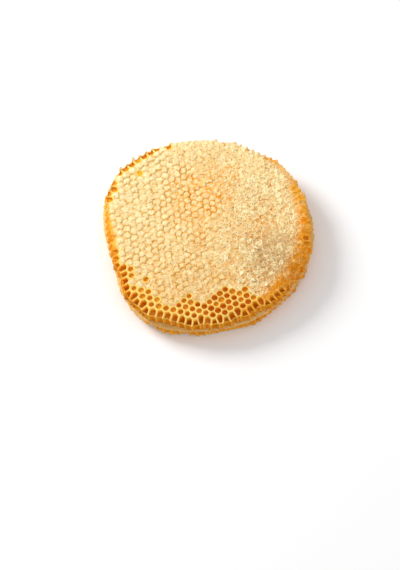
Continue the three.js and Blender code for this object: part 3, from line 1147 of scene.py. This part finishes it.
# The ash stretch: greyish tan wax, darker still as painted shade.
ASH_AND_SHADE_PATCHES = [(51, -37, 38, 1.0)]
# The left patch is thick honey on the wet edge; the two at the front right are painted shade.
THICK_HONEY_AND_SHADE = [(-90, 10, 60, 0.55), (51, -37, 46, 1.0), (70, -50, 30, 1.0)]
THIN_HONEY = [(76, 30, 44, 1.0), (-86, 15, 70, 0.9)]
# A wet edge is a direction, half a width, and how deep, how wet and how uneven it is.
WET_EDGES = [
    (34, 19, 9, 0.75, 0.5),
    (-2, 34, 16, 0.95, 0.5),
    (-30, 34, 18.5, 1.0, 0.5),
    (-58, 24, 14, 1.0, 0.6),
    (178, 52, 6.5, 1.25, 0.3),
]
EDGE_WAVE = (4.5, 21)
SEEPING_NOISE = (0.6, 1.7, 2.2, 23)
SEEPING_TO_RISE = 1.2
ASH_NOISE = (0.95, 0.4, 3, 22)
SIDE_WETNESS = 0.97
HOLLOW_WETNESS = 0.85
# How much thick honey and painted shade darken the wax, and how much thin honey leaves it pale.
THICK_SHARE = 0.6
THIN_SHARE = 0.5


def patch_share(point, patches):
    return max(
        strength * (1 - smooth(math.hypot(point.x - x, point.y - y), 0.2 * radius, radius))
        for x, y, radius, strength in patches
    )


def edge_share(point):
    degrees, depth_in = direction(point), inset(point, top_slope)
    shares = []
    for towards, spread, depth, wetness, unevenness in WET_EDGES:
        stretch = 1 - smooth(abs(degrees_apart(degrees, towards)), 0.6 * spread, spread)
        band = 1 - smooth(depth_in, 0.35 * depth, depth)
        shares.append(stretch * band * uneven(point, wetness, unevenness, *EDGE_WAVE))
    return max(shares)


def wetness_at(point, hollow, rise):
    """The honey soaks the cut edge as a whole, but on the face it seeps into the low places."""
    seeping = patch_share(point, WET_PATCHES) * (SEEPING_TO_RISE - rise)
    seeping *= uneven(point, *SEEPING_NOISE)
    return clamp(max(edge_share(point), seeping, hollow * HOLLOW_WETNESS))


def paint_places(layer):
    for vertex in layer.mesh.verts:
        point = vertex.co
        on_side = vertex[layer.home].length > 0
        hollow = vertex[layer.notes["cut"]] * on_side
        # Greyish tan at the front right, partly painted shade.
        ash = clamp(patch_share(point, ASH_AND_SHADE_PATCHES) * uneven(point, *ASH_NOISE))
        rise = vertex[layer.notes["rise"]]
        wet = max(wetness_at(point, hollow, rise), vertex[layer.notes["wet"]])
        wet = max(wet, SIDE_WETNESS * on_side)
        # Thick honey darkens the wax; at the front right this is painted shade.
        dark = THICK_SHARE * wet * patch_share(point, THICK_HONEY_AND_SHADE)
        pale = THIN_SHARE * wet * patch_share(point, THIN_HONEY)
        is_ashen = layer.side > 0 and not on_side
        layer.note(vertex, wet=wet, ash=ash * is_ashen, rise=mix(rise * (1 - dark), 1, pale))


for layer in (upper, lower):
    paint_places(layer)
upper_comb = finish_piece(upper.mesh, "upper_comb", comb_wax)
finish_piece(lower.mesh, "lower_comb", comb_wax)
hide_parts("honeycomb")

# %% [markdown]
# ## The midrib
# Between the two layers lies the sheet that the bees began with. Cut through, it shows as a thin
# pale line round the side. A capped circle whose points are moved out to the uneven outline, and
# then extruded upwards, makes such a sheet.

# %% The midrib
MIDRIB_THICKNESS = 0.5
MIDRIB_POINTS = 720
MIDRIB_SETBACK = 0.8
MIDRIB_RAGGEDNESS = 0.7
MIDRIB_WAVE = (2.2, 25)
MIDRIB_REACH = 0.5


def note_all(mesh, **values):
    for name, value in values.items():
        layer = mesh.verts.layers.float[name]
        for vertex in mesh.verts:
            vertex[layer] = value


def make_midrib():
    mesh = add_notes(bmesh.new())
    low = Matrix.Translation((0, 0, MIDRIB_HEIGHT - MIDRIB_THICKNESS / 2))
    circle = {"cap_ends": True, "segments": MIDRIB_POINTS, "radius": 1}
    bmesh.ops.create_circle(mesh, **circle, matrix=low)
    for vertex in mesh.verts:
        angle = math.atan2(vertex.co.y, vertex.co.x)
        usual = outline_radius(angle) - MIDRIB_SETBACK
        ragged = min(wave(at_polar(angle, usual), *MIDRIB_WAVE), MIDRIB_REACH)
        place = at_polar(angle, usual + MIDRIB_RAGGEDNESS * ragged)
        vertex.co.x, vertex.co.y = place.x, place.y
    made = bmesh.ops.extrude_face_region(mesh, geom=mesh.faces[:])["geom"]
    bmesh.ops.translate(mesh, verts=new_vertices(made), vec=(0, 0, MIDRIB_THICKNESS))
    note_all(mesh, rise=0.7, sunk=0.1, tone=0.8, wet=0.5)
    finish_piece(mesh, "midrib", comb_wax)


make_midrib()

# %% [markdown]
# ## Honey in the open cells
# Bees leave a cell open until its honey is ripe, so the open cells are partly full. Each pool
# climbs a little at the wall, as any wetting liquid does. A capped circle per cell is inset once
# for that curve, and its rim is extruded down so that the pool is a closed body. A liquid
# simulation would settle to the same shape, and take minutes.

# %% Pour the honey
POOL_SIDES = 12
POOL_SHARE = 0.78
POOL_ROUNDNESS = 0.85
POOL_DROP = 0.25
POOL_DROP_RANGE = 3.2
POOL_THICKNESS = 0.8
MENISCUS_SHARE = 0.8
MENISCUS_HEIGHT = 0.3


def pool_level(cell):
    drop = POOL_DROP + POOL_DROP_RANGE * cell.ripeness()
    floor = upper_face(cell.middle) - WELL_FLOOR
    return max(min(rim.z for rim in cell.rim) - drop, floor + 2 * POOL_THICKNESS)


def set_pool_ring(cell, pool, share, level):
    step = len(cell.rim) // POOL_SIDES
    for vertex, rim in zip(pool.verts, cell.rim[::step]):
        place = well_place(cell, rim, share, POOL_ROUNDNESS)
        vertex.co = Vector((place.x, place.y, level))


def pour_honey(cells):
    mesh = add_notes(bmesh.new())
    tone = mesh.verts.layers.float["tone"]
    circle = {"cap_ends": True, "segments": POOL_SIDES, "radius": 1}
    pools = []
    for cell in cells:
        made = bmesh.ops.create_circle(mesh, **circle)["verts"]
        pools.append(made[0].link_faces[0])
        set_pool_ring(cell, pools[-1], POOL_SHARE, pool_level(cell) + MENISCUS_HEIGHT)
        for vertex in made:
            vertex[tone] = cell.ripeness()
    bmesh.ops.inset_individual(mesh, faces=pools, thickness=INSET_START, depth=0)
    for cell, pool in zip(cells, pools):
        set_pool_ring(cell, pool, POOL_SHARE * MENISCUS_SHARE, pool_level(cell))
    bmesh.ops.poke(mesh, faces=pools)
    rims = [e for e in mesh.edges if e.is_boundary]
    sunk = new_vertices(bmesh.ops.extrude_edge_only(mesh, edges=rims)["geom"])
    bmesh.ops.translate(mesh, verts=sunk, vec=(0, 0, -POOL_THICKNESS))
    bmesh.ops.holes_fill(mesh, edges=[e for e in mesh.edges if e.is_boundary], sides=0)
    print("pools:", len(pools))
    return mesh


HONEY_PALE = srgb(248, 178, 52)
HONEY_RIPE = srgb(204, 107, 0)
HONEY_CLOUD = srgb(226, 138, 8)
CLOUD_SCALE = 320


def make_honey():
    """Honey: deep amber, glossy, and soft with light inside. Each cell's pool has its own tone."""
    material, nodes, shader = new_material("honey")
    cloud = nodes.noise(nodes.place(), CLOUD_SCALE)
    tone = nodes.note("tone")
    still = nodes.mix(tone, HONEY_PALE, HONEY_RIPE)
    nodes.fill(shader, {
        "Base Color": nodes.mix(nodes.times(cloud, tone), still, HONEY_CLOUD),
        "Roughness": 0.08,
        "IOR": 1.48,
        "Specular IOR Level": 0.15,
        "Subsurface Weight": 0.3,
        "Subsurface Radius": (1.0, 0.5, 0.1),
        "Subsurface Scale": 1.0 * MM,
        "Normal": nodes.bump(cloud, strength=0.25, distance=0.1 * MM),
    })
    return material


open_cells = [cell for cell in upper.cells if cell.open]
finish_piece(pour_honey(open_cells), "honey_pools", make_honey())

# %% [markdown]
# ## Torn walls and flecks of wax
# At the back left a few cell walls tore and stand up as thin flaps, and three flecks of clean wax
# lie on the face. All are small grids, bent point by point and then thickened. Cloth simulation
# could bend them, but wax tears stiffly.

# %% Torn walls and flecks
# Each stretch of the edge with torn walls: its two directions, their share and their height.
TORN_STRETCHES = [(112, 134, 1.0, 4.2), (40, 112, 0.5, 1.9), (134, 158, 0.7, 2.4)]
FLAP_UNEVENNESS = 0.3
FLAP_WIDTH = 3.4
FLAP_TIP = 0.35
FLAP_RAGGEDNESS = 0.3
FLAP_SETBACK = 1.6
FLAP_SINK = 1.2
FLAP_LEAN = 0.5
FLAP_TWIST = 0.6
FLAP_CURL = 0.9
FLAP_CURL_BACK = 0.3
FLAP_BOW = 0.5
FLAP_THICKNESS = 0.3
# Each fleck: where it lies, its length and width, and its direction.
FLECKS = [(28.8, -54.5, 7.0, 2.8, 46), (39.5, -60.9, 4.4, 3.2, 10), (35.4, -25.7, 6.4, 2.0, -130)]
FLECK_LIFT = 0.95
FLECK_FOLD = 0.6
FLECK_TAPER = 0.7


def bent_grid(mesh, bend, matrix):
    """Adds a small grid. bend gives a point's place from its shares across and up."""
    made = bmesh.ops.create_grid(mesh, x_segments=4, y_segments=6, size=0.5)["verts"]
    for vertex in made:
        vertex.co = bend(vertex.co.x, vertex.co.y + 0.5)
    bmesh.ops.transform(mesh, matrix=matrix, verts=made)


def torn_wall(mesh, key, tooth, usual_height):
    angle, length = polar(tooth)
    height = usual_height * (1 + FLAP_UNEVENNESS * chance_around_0(*key, 8))
    foot = at_polar(angle, length - FLAP_SETBACK)
    foot.z = upper_face(foot) - FLAP_SINK

    def bend(across, up):
        width = FLAP_WIDTH * mix(1, FLAP_TIP, up**1.5)
        ragged = 1 - FLAP_RAGGEDNESS * up * chance(round(9 * across), key[0], 41)
        curl = FLAP_CURL * up * up * (chance(*key, 42) - FLAP_CURL_BACK)
        return Vector((across * width, curl + FLAP_BOW * across * across, up * height * ragged))

    lean = Matrix.Rotation(-FLAP_LEAN * chance(*key, 9), 4, "X")
    twist = FLAP_TWIST * chance_around_0(*key, 10)
    turn = Matrix.Rotation(angle - math.pi / 2 + twist, 4, "Z")
    bent_grid(mesh, bend, Matrix.Translation(foot) @ turn @ lean)


def fleck(mesh, x, y, length, width, degrees):
    """A fleck of wax, folded along its middle so that both its ends stand up."""
    foot = Vector((x, y, 0))
    foot.z = upper_face(foot) + FLECK_LIFT

    def bend(across, up):
        from_middle = abs(2 * up - 1)
        taper = 1 - FLECK_TAPER * from_middle**1.5
        rise = FLECK_FOLD * from_middle + across * across
        return Vector((across * width * taper, (up - 0.5) * length, rise))

    turn = Matrix.Rotation(math.radians(degrees), 4, "Z")
    bent_grid(mesh, bend, Matrix.Translation(foot) @ turn)


def finish_flaps(mesh, name):
    bmesh.ops.recalc_face_normals(mesh, faces=mesh.faces)
    bmesh.ops.solidify(mesh, geom=mesh.faces[:], thickness=FLAP_THICKNESS)
    note_all(mesh, rise=1, tone=0.2)
    finish_piece(mesh, name, comb_wax)


def make_torn_walls(mesh):
    count = 0
    for key, tooth in upper.tooth_places.items():
        for start, end, share, height in TORN_STRETCHES:
            if start < direction(tooth) < end and chance(*key, 6) < share:
                torn_wall(mesh, key, tooth, height)
                count += 1
    print("torn walls:", count)


flaps, flecks = add_notes(bmesh.new()), add_notes(bmesh.new())
make_torn_walls(flaps)
finish_flaps(flaps, "torn_walls")
for measures in FLECKS:
    fleck(flecks, *measures)
finish_flaps(flecks, "wax_flecks")

# %% [markdown]
# ## Floor, light and camera
# A pale floor and a big soft light from the back left show the relief of the caps: each one has a
# bright back-left side and a soft shadow at its front right.

# %% Floor and lights
FLOOR_SIZE = 4
WORLD_STRENGTH = 0.64


def make_floor():
    mesh = bmesh.new()
    below = Matrix.Translation((0, 0, -0.1 * MM))
    bmesh.ops.create_grid(mesh, x_segments=1, y_segments=1, size=FLOOR_SIZE, matrix=below)
    paper, nodes, shader = new_material("floor_paper")
    nodes.fill(shader, {"Base Color": srgb(246, 246, 246), "Roughness": 0.9})
    make_object(mesh, "floor", paper)


def add_area_light(name, place, size, power):
    data = bpy.data.lights.new(name, "AREA")
    data.shape, data.size, data.energy = "DISK", size, power
    light = bpy.data.objects.new(name, data)
    light.location = place
    light.rotation_euler = Vector(place).to_track_quat("Z", "Y").to_euler()
    bpy.context.scene.collection.objects.link(light)


make_floor()
add_area_light("key_light", (-0.9, 0.8, 0.8), size=0.7, power=18.5)
add_area_light("fill_light", (0.9, -0.8, 1.2), size=1.6, power=4.5)
world = bpy.data.worlds.new("studio")
world.use_nodes = True
background = world.node_tree.nodes["Background"]
Nodes(world.node_tree).fill(background, {"Color": (1, 1, 1, 1), "Strength": WORLD_STRENGTH})
bpy.context.scene.world = world
bpy.context.scene.view_settings.view_transform = "Standard"

# %% [markdown]
# The camera looks down at sixty degrees with a long lens, and it is rolled a little, so that the
# slab's own left-right axis rises to the right of the picture. It is turned, not shifted, to put
# the slab above the middle of the frame.

# %% The camera
CAMERA_ELEVATION = math.radians(60.1)
CAMERA_ROLL = math.radians(8.05)
CAMERA_DISTANCE = 5.0
CLIP_END = 50
FRAME_WIDTH = 400
FRAME_HEIGHT = 570
SENSOR = 36
PIXELS_PER_METRE = 1219.5
AIM_PIXEL = (208.8, 227.0)


def make_camera():
    focal_pixels = PIXELS_PER_METRE * CAMERA_DISTANCE
    data = bpy.data.cameras.new("camera")
    data.lens = focal_pixels * SENSOR / FRAME_HEIGHT
    data.sensor_width = SENSOR
    data.clip_end = CLIP_END
    camera = bpy.data.objects.new("camera", data)
    bpy.context.scene.collection.objects.link(camera)
    tilt = Matrix.Rotation(math.pi / 2 - CAMERA_ELEVATION, 3, "X")
    roll = Matrix.Rotation(-CAMERA_ROLL, 3, "Z")
    aim_x = (AIM_PIXEL[0] - FRAME_WIDTH / 2) / focal_pixels
    aim_y = (FRAME_HEIGHT / 2 - AIM_PIXEL[1]) / focal_pixels
    turn = Vector((aim_x, aim_y, -1)).rotation_difference(Vector((0, 0, -1)))
    place = TO_FRAME @ Vector((0, 0, THICKNESS)) + tilt @ Vector((0, 0, CAMERA_DISTANCE))
    turned = (tilt @ roll @ turn.to_matrix()).to_4x4()
    camera.matrix_world = Matrix.Translation(place) @ turned
    bpy.context.scene.camera = camera
    print("lens, mm:", round(data.lens, 1))


make_camera()
